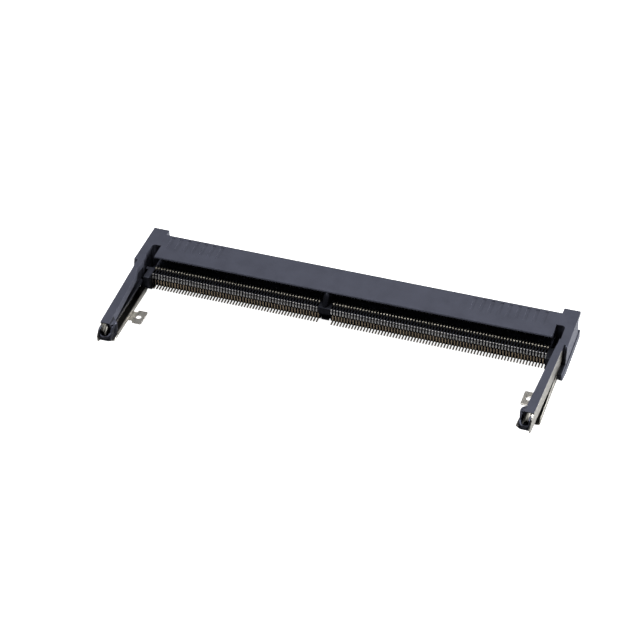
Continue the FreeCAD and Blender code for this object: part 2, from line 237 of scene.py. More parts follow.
def add(tree, kind, **settings):
    """A node with some of its settings; sockets are set by a dictionary called values."""
    made = tree.nodes.new(kind)
    values = settings.pop("values", {})
    for key, value in settings.items():
        setattr(made, key, value)
    for key, value in values.items():
        made.inputs[key].default_value = value
    return made


def link(tree, source, target):
    tree.links.new(source, target)


def feed(tree, value, socket):
    """Leads an output to a socket, or sets the socket to a plain value."""
    if isinstance(value, bpy.types.NodeSocket):
        link(tree, value, socket)
    else:
        socket.default_value = value


def calc(tree, operation, *terms, clamp=False):
    """The result of one operation on outputs and plain numbers."""
    made = add(tree, "ShaderNodeMath", operation=operation, use_clamp=clamp)
    for term, socket in zip(terms, made.inputs):
        feed(tree, term, socket)
    return made.outputs[0]


def ramp(tree, value, start, end, low=0.0, high=1.0, interpolation="LINEAR"):
    """Low before the start, high past the end, and a gradual change in between."""
    made = add(tree, "ShaderNodeMapRange", interpolation_type=interpolation,
               values={"From Min": start, "From Max": end})
    link(tree, value, made.inputs["Value"])
    feed(tree, low, made.inputs["To Min"])
    feed(tree, high, made.inputs["To Max"])
    return made.outputs["Result"]


def scaled(tree, colour, share):
    """A colour times a share."""
    made = add(tree, "ShaderNodeVectorMath", operation="SCALE")
    link(tree, colour, made.inputs[0])
    link(tree, share, made.inputs["Scale"])
    return made.outputs[0]


def mixed(tree, share, first, second):
    """The first colour, which goes over to the second as the share rises."""
    mix = add(tree, "ShaderNodeMix", data_type="RGBA")
    link(tree, share, mix.inputs["Factor"])
    feed(tree, first, mix.inputs[6])
    feed(tree, second, mix.inputs[7])
    return mix.outputs[2]


def noise(tree, place, **values):
    made = add(tree, "ShaderNodeTexNoise")
    link(tree, place, made.inputs["Vector"])
    for label, value in values.items():
        feed(tree, value, made.inputs[label])
    return made.outputs["Fac"]


def object_place(tree):
    """Where a point is in its object's own space, in metres."""
    return add(tree, "ShaderNodeTexCoord").outputs["Object"]


def axes_of(tree, vector):
    """The outputs X, Y and Z of a vector."""
    parts = add(tree, "ShaderNodeSeparateXYZ")
    link(tree, vector, parts.inputs[0])
    return parts.outputs


COLOUR = "NodeSocketColor"
FLOAT = "NodeSocketFloat"


# %% Grain of a moulded surface
def moulded_grain_group():
    tree, ins, outs = new_group(
        "moulded_grain",
        [("Colour", COLOUR, (0.03, 0.03, 0.03, 1)), ("Mottle", FLOAT, 0.2),
         ("Grain Size", FLOAT, 0.0002), ("Roughness", FLOAT, 0.5)],
        [("Colour", COLOUR), ("Roughness", FLOAT), ("Height", FLOAT)])
    place = object_place(tree)
    per_metre = calc(tree, "DIVIDE", 1.0, ins.outputs["Grain Size"])
    fine = noise(tree, place, Scale=per_metre, Detail=4.0, Roughness=0.6)
    cloud = noise(tree, place, Scale=420.0, Detail=3.0)
    centred = calc(tree, "SUBTRACT", calc(tree, "ADD", fine, cloud), 1.0)
    swing = calc(tree, "MULTIPLY_ADD", centred, ins.outputs["Mottle"], 1.0)
    rough = calc(tree, "MULTIPLY", ins.outputs["Roughness"], swing, clamp=True)
    link(tree, scaled(tree, ins.outputs["Colour"], swing), outs.inputs["Colour"])
    link(tree, rough, outs.inputs["Roughness"])
    link(tree, fine, outs.inputs["Height"])
    return tree


moulded_grain = moulded_grain_group()


# %% Rubbed edges
def rubbed_edges_group():
    """Where a rounded normal leaves the true one there is an edge, and its colour is rubbed."""
    tree, ins, outs = new_group(
        "rubbed_edges",
        [("Colour", COLOUR, (0.5, 0.5, 0.5, 1)), ("Rubbed Colour", COLOUR, (0.6, 0.6, 0.6, 1)),
         ("Width", FLOAT, 0.0001), ("Strength", FLOAT, 0.5)],
        [("Colour", COLOUR), ("Mask", FLOAT)])
    round_normal = add(tree, "ShaderNodeBevel", samples=4)
    link(tree, ins.outputs["Width"], round_normal.inputs["Radius"])
    surface = add(tree, "ShaderNodeNewGeometry")
    likeness = add(tree, "ShaderNodeVectorMath", operation="DOT_PRODUCT")
    link(tree, round_normal.outputs[0], likeness.inputs[0])
    link(tree, surface.outputs["Normal"], likeness.inputs[1])
    mask = ramp(tree, likeness.outputs["Value"], 0.98, 0.80)
    patchy = noise(tree, object_place(tree), Scale=1500.0, Detail=2.0)
    broken = calc(tree, "MULTIPLY", mask, patchy)
    share = calc(tree, "MULTIPLY", broken, ins.outputs["Strength"], clamp=True)
    rubbed = mixed(tree, share, ins.outputs["Colour"], ins.outputs["Rubbed Colour"])
    link(tree, rubbed, outs.inputs["Colour"])
    link(tree, share, outs.inputs["Mask"])
    return tree


rubbed_edges = rubbed_edges_group()


# %% Painted shade in hollows
def painted_hollow_shade_group():
    """Painted shade: where a surface looks into a hollow or a gap, its colour falls to a small share."""
    tree, ins, outs = new_group(
        "painted_hollow_shade",
        [("Colour", COLOUR, (0.5, 0.5, 0.5, 1)), ("Reach", FLOAT, 0.0015),
         ("Deepest Share", FLOAT, 0.1)],
        [("Colour", COLOUR), ("Openness", FLOAT)])
    around = add(tree, "ShaderNodeAmbientOcclusion", samples=6, only_local=True)
    link(tree, ins.outputs["Reach"], around.inputs["Distance"])
    openness = ramp(tree, around.outputs["AO"], 0.1, 0.75, low=ins.outputs["Deepest Share"],
                    interpolation="SMOOTHSTEP")
    link(tree, scaled(tree, ins.outputs["Colour"], openness), outs.inputs["Colour"])
    link(tree, openness, outs.inputs["Openness"])
    return tree


painted_hollow_shade = painted_hollow_shade_group()


# %% Clouds and streaks of rolled strip
def rolled_strip_group():
    """Stains in clouds, and a roughness in streaks drawn out along Y."""
    tree, ins, outs = new_group(
        "rolled_strip",
        [("Colour", COLOUR, (0.7, 0.7, 0.7, 1)), ("Stain", COLOUR, (0.4, 0.4, 0.35, 1)),
         ("Streak", FLOAT, 0.3), ("Roughness", FLOAT, 0.3)],
        [("Colour", COLOUR), ("Roughness", FLOAT), ("Height", FLOAT)])
    place = object_place(tree)
    drawn_out = add(tree, "ShaderNodeMapping", vector_type="POINT", values={"Scale": (9.0, 0.35, 9.0)})
    link(tree, place, drawn_out.inputs["Vector"])
    streaks = noise(tree, drawn_out.outputs[0], Scale=900.0, Detail=4.0)
    blotch = ramp(tree, noise(tree, place, Scale=500.0, Detail=3.0), 0.35, 0.75)
    share = calc(tree, "MULTIPLY", blotch, ins.outputs["Streak"], clamp=True)
    stained = mixed(tree, share, ins.outputs["Colour"], ins.outputs["Stain"])
    swing = calc(tree, "MULTIPLY_ADD", streaks, 0.5, 0.75)
    rough = calc(tree, "MULTIPLY", swing, ins.outputs["Roughness"], clamp=True)
    link(tree, stained, outs.inputs["Colour"])
    link(tree, rough, outs.inputs["Roughness"])
    link(tree, streaks, outs.inputs["Height"])
    return tree


rolled_strip = rolled_strip_group()

# %% [markdown]
# ## Finishes
#
# The housing and the arms are a glass-filled black plastic. Under a bright tent it reads as a
# matte blue-grey, so the base colour stays dark and the broad reflection does the rest. The
# springs and hold-downs are plated strip, satin and a little warm. The contacts are pale where
# they touch the module, silvery at the nose and brown along the legs, where light has to go in
# between them. Some places are darkened by a share in a box, where the light alone left them
# paler than the photograph has them.


# %% Tools for materials
def new_material(name, **values):
    """A material with a Principled shader, its tree and the shader node."""
    made = bpy.data.materials.new(name)
    made.use_nodes = True
    shader = made.node_tree.nodes["Principled BSDF"]
    for label, value in values.items():
        shader.inputs[label.replace("_", " ")].default_value = value
    return made, made.node_tree, shader


def place_group(tree, group, values):
    placed = tree.nodes.new("ShaderNodeGroup")
    placed.node_tree = group
    for label, value in values.items():
        placed.inputs[label].default_value = value
    return placed


def add_bump(tree, height, shader, depth, strength):
    """Leads a height to the shader's normal, with its depth in metres."""
    bump = add(tree, "ShaderNodeBump", values={"Strength": strength, "Distance": depth})
    link(tree, height, bump.inputs["Height"])
    link(tree, bump.outputs[0], shader.inputs["Normal"])


def rubbed_and_hollow_shaded(tree, base, rubbed, width, strength, reach, deepest):
    """The base group's colour, rubbed at the edges, then darkened by painted shade in the hollows."""
    edges = place_group(tree, rubbed_edges, {
        "Rubbed Colour": (*rubbed, 1), "Width": width, "Strength": strength})
    hollows = place_group(tree, painted_hollow_shade, {"Reach": reach, "Deepest Share": deepest})
    link(tree, base.outputs["Colour"], edges.inputs["Colour"])
    link(tree, edges.outputs["Colour"], hollows.inputs["Colour"])
    return hollows.outputs


# %% Boxes of painted shade, in millimetres, in which a surface is darker, and the share of colour left in them
COMB_SHADE_SHARE = 0.2
PAD_SHADE_SHARE = 0.5
UNDER_LIP_SHADE_SHARE = 0.25
LIP_SHADE_SHARE = 0.8
HOOK_SHADE_SHARE = 0.2
COMB_ZONE = ((-33.5, 34.6), (-7.2, -3.72), (-1.0, 4.92))
PAD_ZONE = ((-34.6, -33.55), (-7.2, -3.3), (-1.0, 4.9))
GUARD_ZONE = ((35.6, 36.5), (-9.2, -5.95), (-1.0, 4.9))
TIP_ZONE = ((-36.5, 36.5), (-24.5, -20.4), (0.0, 5.1))
LIP_ZONE = ((-36.5, 36.5), (-20.4, -7.0), (4.3, 5.15))
UNDER_LIP_ZONE = ((-36.5, 36.5), (-20.3, -5.9), (0.0, 4.2))
HOOK_ZONE = ((-34.7, 34.7), (-24.5, -22.1), (2.9, 5.3))
ZONE_EDGE = 0.08
LEVEL_NORMAL_Z = 0.65
STEEP_NORMAL_Z = 0.4


def multiplied(tree, first, second):
    """The product of two outputs, or the second alone when there is no first."""
    return second if first is None else calc(tree, "MULTIPLY", first, second)


def painted_shade_zone(tree, zone, share, before=None, sides_only=False):
    """Painted shade: one outside a box given in millimetres, and a share of that on the surfaces inside it.
    """
    axes = axes_of(tree, object_place(tree))
    within = None
    for axis, ends in zip("XYZ", zone):
        for end, outwards in zip(ends, (-1, 1)):
            limit = ramp(tree, axes[axis], (end + outwards * ZONE_EDGE) * MM, end * MM)
            within = multiplied(tree, within, limit)
    if sides_only:
        facing = axes_of(tree, add(tree, "ShaderNodeNewGeometry").outputs["Normal"])
        within = multiplied(tree, within, ramp(tree, facing["Z"], LEVEL_NORMAL_Z, STEEP_NORMAL_Z))
    return multiplied(tree, before, ramp(tree, within, 0.0, 1.0, 1.0, share))


# %% Moulded plastic of the housing and the arms
PLASTIC_COLOUR = (0.042, 0.044, 0.060)
PLASTIC_RUBBED = (0.08, 0.085, 0.10)
PLASTIC_ROUGHNESS = 0.48
PLASTIC_TINT = (0.72, 0.77, 1.0, 1)


def plastic(name, zones):
    made, tree, shader = new_material(name, Specular_Tint=PLASTIC_TINT)
    grain = place_group(tree, moulded_grain, {
        "Colour": (*PLASTIC_COLOUR, 1), "Mottle": 0.35, "Grain Size": 0.0003,
        "Roughness": PLASTIC_ROUGHNESS})
    hollows = rubbed_and_hollow_shaded(tree, grain, PLASTIC_RUBBED, 0.00012, 0.4, 0.0018, 0.06)
    # The boxes paint shade: their share, with the painted shade of the hollows, darkens the colour and cuts
    # the sheen.
    lit = None
    for zone, share, sides_only in zones:
        lit = painted_shade_zone(tree, zone, share, lit, sides_only)
    link(tree, scaled(tree, hollows["Colour"], lit), shader.inputs["Base Color"])
    link(tree, multiplied(tree, hollows["Openness"], lit), shader.inputs["Specular IOR Level"])
    link(tree, grain.outputs["Roughness"], shader.inputs["Roughness"])
    add_bump(tree, grain.outputs["Height"], shader, 0.00002, 0.6)
    return made


# Painted shade on the housing: in the comb, on the pads beside the arms and on the guards.
housing_plastic = plastic("housing_plastic", [
    (COMB_ZONE, COMB_SHADE_SHARE, False), (PAD_ZONE, PAD_SHADE_SHARE, False), (GUARD_ZONE, COMB_SHADE_SHARE, False)])
# Painted shade on the arms: under the lip, on the sides at the tip and on the sloped sides of the lip.
arm_plastic = plastic("arm_plastic", [
    (UNDER_LIP_ZONE, UNDER_LIP_SHADE_SHARE, False), (TIP_ZONE, UNDER_LIP_SHADE_SHARE, True),
    (LIP_ZONE, LIP_SHADE_SHARE, True)])


# %% Plated strip of the springs and the hold-downs
# Shares of painted light and shade on the hold-downs: nearly black in the channel, darker walls, a paler
# tab.
CHANNEL_SHADE_SHARE = 0.15
TAB_LIGHT_SHARE = 1.35
WALL_SHADE_SHARE = 0.75
INNER_WALL_X = (34.16, 34.2)
OUTER_WALL_X = (35.7, 35.66)
BASE_TOP_Z = (0.05, 0.15)
SHEET_TOP_Z = (0.22, 0.32)


def between(tree, value, ends, low=0.0, high=1.0):
    """A ramp whose two ends are given in millimetres."""
    return ramp(tree, value, ends[0] * MM, ends[1] * MM, low, high)


def painted_strap_light_and_shade(tree, colour):
    """Painted light and shade: a paler tab, darker walls, and nearly black between the two walls of the
    channel.
    """
    axes = axes_of(tree, object_place(tree))
    reach = calc(tree, "ABSOLUTE", axes["X"])
    channel = calc(tree, "MULTIPLY", between(tree, reach, INNER_WALL_X), between(tree, reach, OUTER_WALL_X))
    inside = calc(tree, "MULTIPLY", channel, between(tree, axes["Z"], BASE_TOP_Z))
    walls = between(tree, axes["Z"], SHEET_TOP_Z, TAB_LIGHT_SHARE, WALL_SHADE_SHARE)
    share = ramp(tree, inside, 0.0, 1.0, 1.0, CHANNEL_SHADE_SHARE)
    return scaled(tree, colour, multiplied(tree, share, walls))


def strip_metal(name, colour, stain, streak, roughness, rubbed, channel=False):
    """Plated strip: a hold-down gets painted shade in its channel and painted light on its tab, a spring
    painted shade on its hook.
    """
    made, tree, shader = new_material(name, Metallic=1.0)
    strip = place_group(tree, rolled_strip, {
        "Colour": (*colour, 1), "Stain": (*stain, 1), "Streak": streak, "Roughness": roughness})
    worn_and_shaded = rubbed_and_hollow_shaded(tree, strip, rubbed, 0.00006, 0.25, 0.0014, 0.08)["Colour"]
    if channel:
        shown = painted_strap_light_and_shade(tree, worn_and_shaded)
    else:
        # Painted shade on the inner half of the rolled hook.
        shown = scaled(tree, worn_and_shaded, painted_shade_zone(tree, HOOK_ZONE, HOOK_SHADE_SHARE))
    link(tree, shown, shader.inputs["Base Color"])
    link(tree, strip.outputs["Roughness"], shader.inputs["Roughness"])
    add_bump(tree, strip.outputs["Height"], shader, 0.000003, 0.25)
    return made


latch_metal = strip_metal("latch_metal", (0.38, 0.37, 0.345), (0.31, 0.30, 0.26), 0.5, 0.36,
                          (0.8, 0.8, 0.77))
hold_down_metal = strip_metal("hold_down_metal", (0.56, 0.54, 0.50), (0.45, 0.42, 0.37), 0.4, 0.33,
                              (0.8, 0.79, 0.76), channel=True)

# %% Plating of the contacts, with painted shade on the tails, beams and nose tops, and the heights and depths in millimetres where it changes
# The tails' tin is darker and not metal: tin's own tone plus painted shade.
TIN = (0.34, 0.29, 0.21, 1)
BROWN = (0.95, 0.78, 0.58, 1)
SILVER = (1.0, 1.0, 1.0, 1)
# Painted shade on the top of each nose.
NOSE_TOP_SHADE = (0.22, 0.22, 0.23, 1)
# Painted shade on the beams, down in the slots.
BEAM_SHADE = (0.05, 0.045, 0.04, 1)
BUMP = (0.50, 0.47, 0.40, 1)
PLATING_STAIN = (0.35, 0.30, 0.22, 1)
TAIL_TO_LEG_Z = (0.22, 0.32)
LEG_TO_NOSE_Z = (1.5, 1.9)
NOSE_TO_TOP_Z = (2.55, 2.85)
NOSE_TO_BEAM_Y = (-5.6, -5.55)
BEAM_TO_BUMP_Y = (-5.3, -5.2)
BEAM_TO_BUMP_Z = (2.9, 3.0)
LEG_TOP_Z = (1.5, 1.6)


def contact_plating():
    """Tin on the tails, which are not metal here and darker as painted shade, brown legs, silver noses with
    painted shade on top, painted shade on the beams, and pale bumps.
    """
    made, tree, shader = new_material("contact_metal")
    axes = axes_of(tree, object_place(tree))
    above_tail = between(tree, axes["Z"], TAIL_TO_LEG_Z)
    link(tree, above_tail, shader.inputs["Metallic"])
    legs = mixed(tree, above_tail, TIN, BROWN)
    noses = mixed(tree, between(tree, axes["Z"], LEG_TO_NOSE_Z), legs, SILVER)
    # Painted shade on the nose tops, then on the beams.
    topped = mixed(tree, between(tree, axes["Z"], NOSE_TO_TOP_Z), noses, NOSE_TOP_SHADE)
    beams = mixed(tree, between(tree, axes["Y"], NOSE_TO_BEAM_Y), topped, BEAM_SHADE)
    at_bump = calc(tree, "MULTIPLY", between(tree, axes["Y"], BEAM_TO_BUMP_Y),
                   between(tree, axes["Z"], BEAM_TO_BUMP_Z))
    touching = mixed(tree, at_bump, beams, BUMP)
    plated = mixed(tree, between(tree, axes["Z"], LEG_TOP_Z), legs, touching)
    shade = add(tree, "ShaderNodeAttribute", attribute_name="plating_shade")
    strip = place_group(tree, rolled_strip, {"Stain": PLATING_STAIN, "Streak": 0.15, "Roughness": 0.42})
    link(tree, scaled(tree, plated, shade.outputs["Fac"]), strip.inputs["Colour"])
    link(tree, strip.outputs["Colour"], shader.inputs["Base Color"])
    link(tree, strip.outputs["Roughness"], shader.inputs["Roughness"])
    return made


contact_metal = contact_plating()

# %% [markdown]
# ## The housing
#
# The moulding is one piece: bar, end blocks, comb, key, feet and pegs. The engineering model
# already has its outline, so its mesh is copied and its loose triangles are joined back into
# whole faces. A few places are moved to where the photograph has them, and a fine bevel gives
# every edge the small radius that a mould leaves. Edges that catch the light are most of what
# makes a plastic part look real.


# %% Copy a piece of the model, and dress a piece
FLAT_ANGLE = math.radians(1)
BEVEL_ANGLE = math.radians(40)


def model_copy(node):
    """The mesh of a model piece, with its loose triangles joined back into whole faces."""
    bm = bmesh.new()
    bm.from_mesh(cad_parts[node].data)
    bmesh.ops.remove_doubles(bm, verts=bm.verts, dist=MERGE_DISTANCE)
    bmesh.ops.dissolve_limit(bm, angle_limit=FLAT_ANGLE, verts=bm.verts, edges=bm.edges)
    return bm


def dressed(name, bm, material, radius, body, nodes, late=None, segments=2):
    """Rounds every sharp edge, then hands the piece over to a body of the model."""
    made = finished(name, bm, material)
    bevel = made.modifiers.new("edge_round", "BEVEL")
    bevel.width = radius * MM
    bevel.segments = segments
    bevel.limit_method = "ANGLE"
    bevel.angle_limit = BEVEL_ANGLE
    bevel.use_clamp_overlap = True
    baked(made)
    if late:
        bm = bmesh.new()
        bm.from_mesh(made.data)
        late(bm)
        bmesh.ops.recalc_face_normals(bm, faces=bm.faces)
        bm.to_mesh(made.data)
        bm.free()
    soften(made)
    flatten_large_faces(made)
    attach(made, body)
    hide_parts(*nodes)
    print(name, "faces:", len(made.data.polygons))
    return made


# %% Retouch the housing: front edge, marks, left ramp, guards, pads, and a skirt behind the legs
TOP_FRONT_Y = -3.7
SKIRT_BACK_Y = -4.4
SKIRT_FRONT_Y = -4.87
BROW_REACH = 0.42
MARK_FLOOR_Z = 5.12
LEFT_RAMP_SHIFT = 0.35
GUARD_BEND_Y = -5.3
GUARD_END_Z = 0.75
GUARD_FOOT_X = 35.9
GUARD_FOOT_WIDTH = 0.45
GUARD_FOOT = [Vector((-8.75, 0.75)), Vector((-6.0, 0.1)), Vector((-6.0, 1.85)), Vector((-8.75, 1.85))]
GUARD_END = (36.2, 8.8)
PAD_BEND_Y = -6.2
PAD_END_Z = 0.7
PAD_END = ((33.3, 34.6), (6.9, 7.1))
UNDERSIDE_Z = 0.1
TOP_END_INSET = 3.05
MARK_DEPTH_Z = (5.06, 5.1)
RAMP_OUTSIDE_X = -36.2
RAMP_Y = (-5.9, -5.7)
SKIRT_Z = (0.03, 0.5)
SKIRT_PAST_ROW = 0.35


def thin_the_ends(bm):
    """Lifts the underside of the guards and pads at their front ends, as the photograph has them."""
    for cut_y in (GUARD_BEND_Y, PAD_BEND_Y):
        cut_across(bm, cut_y)
    for vert in bm.verts:
        x, y, z = (abs(value) / MM for value in vert.co)
        if z < UNDERSIDE_Z and x > GUARD_END[0] and y > GUARD_END[1]:
            vert.co.z = GUARD_END_Z * MM
        if z < UNDERSIDE_Z and PAD_END[0][0] < x < PAD_END[0][1] and PAD_END[1][0] < y < PAD_END[1][1]:
            vert.co.z = PAD_END_Z * MM


def retouch_housing(bm):
    """Moves points of the top and the ends, and adds the guards' feet and the skirt."""
    moved = 0
    for vert in bm.verts:
        x, y, z = (value / MM for value in vert.co)
        if z < 4.0 or abs(x) > housing_high.x - TOP_END_INSET:
            continue
        if z > 4.95 and TOP_FRONT_Y - 0.02 < y < TOP_FRONT_Y + 0.17:
            vert.co.y -= BROW_REACH * MM
            moved += 1
        if MARK_DEPTH_Z[0] < z < MARK_DEPTH_Z[1]:
            vert.co.z = MARK_FLOOR_Z * MM
    for vert in bm.verts:
        x, y, z = (value / MM for value in vert.co)
        if x < RAMP_OUTSIDE_X and z > 5.0 and RAMP_Y[0] < y < RAMP_Y[1]:
            vert.co.y += LEFT_RAMP_SHIFT * MM
    print("front edge points moved:", moved)
    thin_the_ends(bm)
    # The guards' feet and the skirt behind the legs fill gaps where the white floor would show: dark pieces
    # put where the floor lies in shadow under the housing.
    for sign in (-1, 1):
        x0, x1 = sorted((sign * GUARD_FOOT_X, sign * (GUARD_FOOT_X + GUARD_FOOT_WIDTH)))
        solid_across(bm, GUARD_FOOT, x0, x1)
    low, high = SKIRT_Z
    outline = [Vector(point) for point in ((SKIRT_FRONT_Y, low), (SKIRT_BACK_Y, low),
                                           (SKIRT_BACK_Y, high), (SKIRT_FRONT_Y, high))]
    for first, count in (left_row, right_row):
        end = first + (count - 1) * CONTACT_PITCH + SKIRT_PAST_ROW
        solid_across(bm, outline, first - SKIRT_PAST_ROW, end)


# %% The key: a thumb-shaped rib that narrows to a point
KEY_STATIONS = [
    (-3.3, 0.52, 4.95),
    (-4.2, 0.52, 4.95),
    (-4.6, 0.50, 4.68),
    (-4.95, 0.44, 4.25),
    (-5.25, 0.33, 3.75),
    (-5.5, 0.19, 3.3),
    (-5.62, 0.06, 3.0),
]
KEY_ROOT_Z = 2.5
ARCH_STEPS = 10


def loft(bm, rings):
    """Skins a run of closed rings of equal length and caps both ends."""
    runs = [[bm.verts.new(Vector(point) * MM) for point in ring] for ring in rings]
    for near, far in zip(runs, runs[1:]):
        for i in range(len(near)):
            j = (i + 1) % len(near)
            bm.faces.new((near[i], near[j], far[j], far[i]))
    bm.faces.new(reversed(runs[0]))
    bm.faces.new(runs[-1])


def add_key(bm):
    """The thumb: a round-topped arch at each station, standing in the comb."""
    rings = []
    for y, half, crown in KEY_STATIONS:
        spring_z = crown - half
        ring = [(key_x - half, y, KEY_ROOT_Z)]
        for i in range(ARCH_STEPS + 1):
            turn = math.pi * (1 - i / ARCH_STEPS)
            ring.append((key_x + half * math.cos(turn), y, spring_z + half * math.sin(turn)))
        ring.append((key_x + half, y, KEY_ROOT_Z))
        rings.append(ring)
    loft(bm, rings)


housing_mesh = model_copy("housing")
retouch_housing(housing_mesh)
housing = dressed("moulded_housing", housing_mesh, housing_plastic, 0.05, "socket",
                  ["housing"], late=add_key)

# %% [markdown]
# ## The contacts
#
# There are 260 contacts of two kinds. All of one kind are the same stamping, so one outline is
# drawn for each, and Geometry Nodes lay copies along the two rows beside the key. The tree takes
# its own mesh as the thing to copy, so no helper object is left over. Each copy also gets a
# random shade, stored as an attribute that the plating reads.


# %% The tree that lays a row of contacts
def contact_row_tree():
    tree = bpy.data.node_groups.new("contact_rows", "GeometryNodeTree")
    sockets = [("Geometry", "NodeSocketGeometry", None), ("Pitch", "NodeSocketFloat", 0.0005),
               ("Left First", "NodeSocketFloat", 0.0), ("Left Count", "NodeSocketInt", 1),
               ("Right First", "NodeSocketFloat", 0.0), ("Right Count", "NodeSocketInt", 1),
               ("Shade Spread", "NodeSocketFloat", 0.1), ("Seed", "NodeSocketInt", 1),
               ("Material", "NodeSocketMaterial", None)]
    for label, kind, value in sockets:
        socket = tree.interface.new_socket(label, in_out="INPUT", socket_type=kind)
        if value is not None:
            socket.default_value = value
    tree.interface.new_socket("Geometry", in_out="OUTPUT", socket_type="NodeSocketGeometry")
    ins = tree.nodes.new("NodeGroupInput")
    outs = tree.nodes.new("NodeGroupOutput")
    step = add(tree, "ShaderNodeCombineXYZ")
    link(tree, ins.outputs["Pitch"], step.inputs["X"])
    rows = add(tree, "GeometryNodeJoinGeometry")
    for side in ("Left", "Right"):
        start = add(tree, "ShaderNodeCombineXYZ")
        link(tree, ins.outputs[side + " First"], start.inputs["X"])
        line = add(tree, "GeometryNodeMeshLine", mode="OFFSET")
        link(tree, ins.outputs[side + " Count"], line.inputs["Count"])
        link(tree, start.outputs[0], line.inputs["Start Location"])
        link(tree, step.outputs[0], line.inputs["Offset"])
        link(tree, line.outputs[0], rows.inputs[0])
    copies = add(tree, "GeometryNodeInstanceOnPoints")
    link(tree, rows.outputs[0], copies.inputs["Points"])
    link(tree, ins.outputs["Geometry"], copies.inputs["Instance"])
    low = calc(tree, "SUBTRACT", 1.0, ins.outputs["Shade Spread"])
    shade = add(tree, "FunctionNodeRandomValue", data_type="FLOAT", values={"Max": 1.0})
    link(tree, low, shade.inputs[2])
    shade.inputs[3].default_value = 1.0
    link(tree, ins.outputs["Seed"], shade.inputs["Seed"])
    store = add(tree, "GeometryNodeStoreNamedAttribute", data_type="FLOAT", domain="INSTANCE",
                values={"Name": "plating_shade"})
    link(tree, copies.outputs[0], store.inputs["Geometry"])
    link(tree, shade.outputs[1], store.inputs["Value"])
    real = add(tree, "GeometryNodeRealizeInstances")
    link(tree, store.outputs[0], real.inputs[0])
    dress = add(tree, "GeometryNodeSetMaterial")
    link(tree, real.outputs[0], dress.inputs["Geometry"])
    link(tree, ins.outputs["Material"], dress.inputs["Material"])
    link(tree, dress.outputs[0], outs.inputs["Geometry"])
    return tree


contact_rows_tree = contact_row_tree()
SHADE_SPREAD = 0.22


def socket_id(tree, label):
    """The identifier of a tree's input, by its name."""
    for item in tree.interface.items_tree:
        if item.item_type == "SOCKET" and item.in_out == "INPUT" and item.name == label:
            return item.identifier
    raise ValueError(label)


def lay_rows(name, outline, width, material, seed=1, extra=0):
    """One solid, copied along both rows; with extra = 1 the copies stand between the contacts."""
    bm = bmesh.new()
    solid_across(bm, outline, -width / 2, width / 2)
    made = finished(name, bm, material)
    rows = made.modifiers.new("rows", "NODES")
    rows.node_group = contact_rows_tree
    shift = extra * CONTACT_PITCH / 2
    settings = {"Pitch": CONTACT_PITCH * MM,
                "Left First": (left_row[0] - shift) * MM, "Left Count": left_row[1] + extra,
                "Right First": (right_row[0] - shift) * MM, "Right Count": right_row[1] + extra,
                "Shade Spread": SHADE_SPREAD, "Seed": seed, "Material": material}
    for label, value in settings.items():
        rows[socket_id(contact_rows_tree, label)] = value
    baked(made)
    soften(made)
    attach(made, "socket")
    print(name, "faces:", len(made.data.polygons))
    return made


# %% Lower contacts: tail, leg, nose with two swells, beam and bump
lower_low, lower_high = extent(lower_blocks[0])
tail_tip_y = lower_low.y
bump_end_y = lower_high.y
bump_z = lower_high.z
NOSE_Y = -5.96
NECK_Y = -5.76
LEG_BACK_Y = -4.9
STRIP = 0.2
BEAM_Z = 2.32
BUMP_CROWN = 0.08
lower_outline = rounded([
    (tail_tip_y, 0, 0.04),
    (LEG_BACK_Y, 0, 0.2),
    (LEG_BACK_Y, 1.5, 0.15),
    (-5.35, 2.0, 0.1),
    (-4.4, 2.12, 0.2),
    (bump_end_y, 2.85, 0.05),
    (bump_end_y, bump_z + BUMP_CROWN, 0.12),
    (-4.5, bump_z + BUMP_CROWN, 0.2),
    (-4.72, BEAM_Z, 0.1),
    (-5.45, BEAM_Z, 0.1),
    (-5.6, 3.0, 0.08),
    (NOSE_Y, 3.04, 0.14),
    (NECK_Y, 2.66, 0.06),
    (NOSE_Y, 2.52, 0.12),
    (NOSE_Y + 0.1, 2.1, 0.14),
    (LEG_BACK_Y - STRIP, 1.28, 0.15),
    (LEG_BACK_Y - STRIP, STRIP, 0.1),
    (tail_tip_y, STRIP, 0.05),
], steps=2)
lower_contacts = lay_rows("lower_contact_row", lower_outline, CONTACT_WIDTH, contact_metal, seed=3)
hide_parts(*lower_blocks)

# %% Ribs of the moulding between the legs
RIB_FRONT_Y = -5.07
RIB_WIDTH = 0.28
rib_outline = rounded([
    (RIB_FRONT_Y, 0.1, 0.05),
    (-4.7, 0.1, 0),
    (-4.7, 1.4, 0),
    (RIB_FRONT_Y, 1.15, 0.1),
], steps=2)
leg_ribs = lay_rows("leg_ribs", rib_outline, RIB_WIDTH, housing_plastic, extra=1)

# %% Upper contacts: leg and tail at the back, beam under the top wall, bump at the front
upper_low, upper_high = extent(upper_blocks[0])
back_leg_y = 2.2
beam_top_z = upper_high.z
BEAM_FRONT_Y = -3.1
upper_outline = rounded([
    (back_leg_y, 0, 0.1),
    (upper_high.y, 0, 0.04),
    (upper_high.y, STRIP, 0.05),
    (back_leg_y + STRIP, STRIP, 0.08),
    (back_leg_y + STRIP, beam_top_z, 0.12),
    (BEAM_FRONT_Y, beam_top_z, 0.1),
    (BEAM_FRONT_Y + 0.2, 4.12, 0.08),
    (-1.65, 4.4, 0.1),
    (back_leg_y, 4.4, 0.05),
], steps=2)
upper_contacts = lay_rows("upper_contact_row", upper_outline, CONTACT_WIDTH, contact_metal, seed=5)
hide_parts(*upper_blocks)

# %% [markdown]
# ## Latch arms, springs and hold-downs
#
# Each arm is a plastic moulding that bends outwards when a module is pushed in, backed by a
# stamped spring that rides with it. The hold-downs stay on the board.

# %% Places that the sides share, for the right side
PIVOT = Vector((35.45, -5.4))
SEAT_RADIUS = 0.58
PLUG_RADIUS = 0.63
ARM_END_Y = -22.4
ARM_OUTER_X = 35.97
ARM_TAPER = 0.57
SIDES = (("left", -1), ("right", 1))


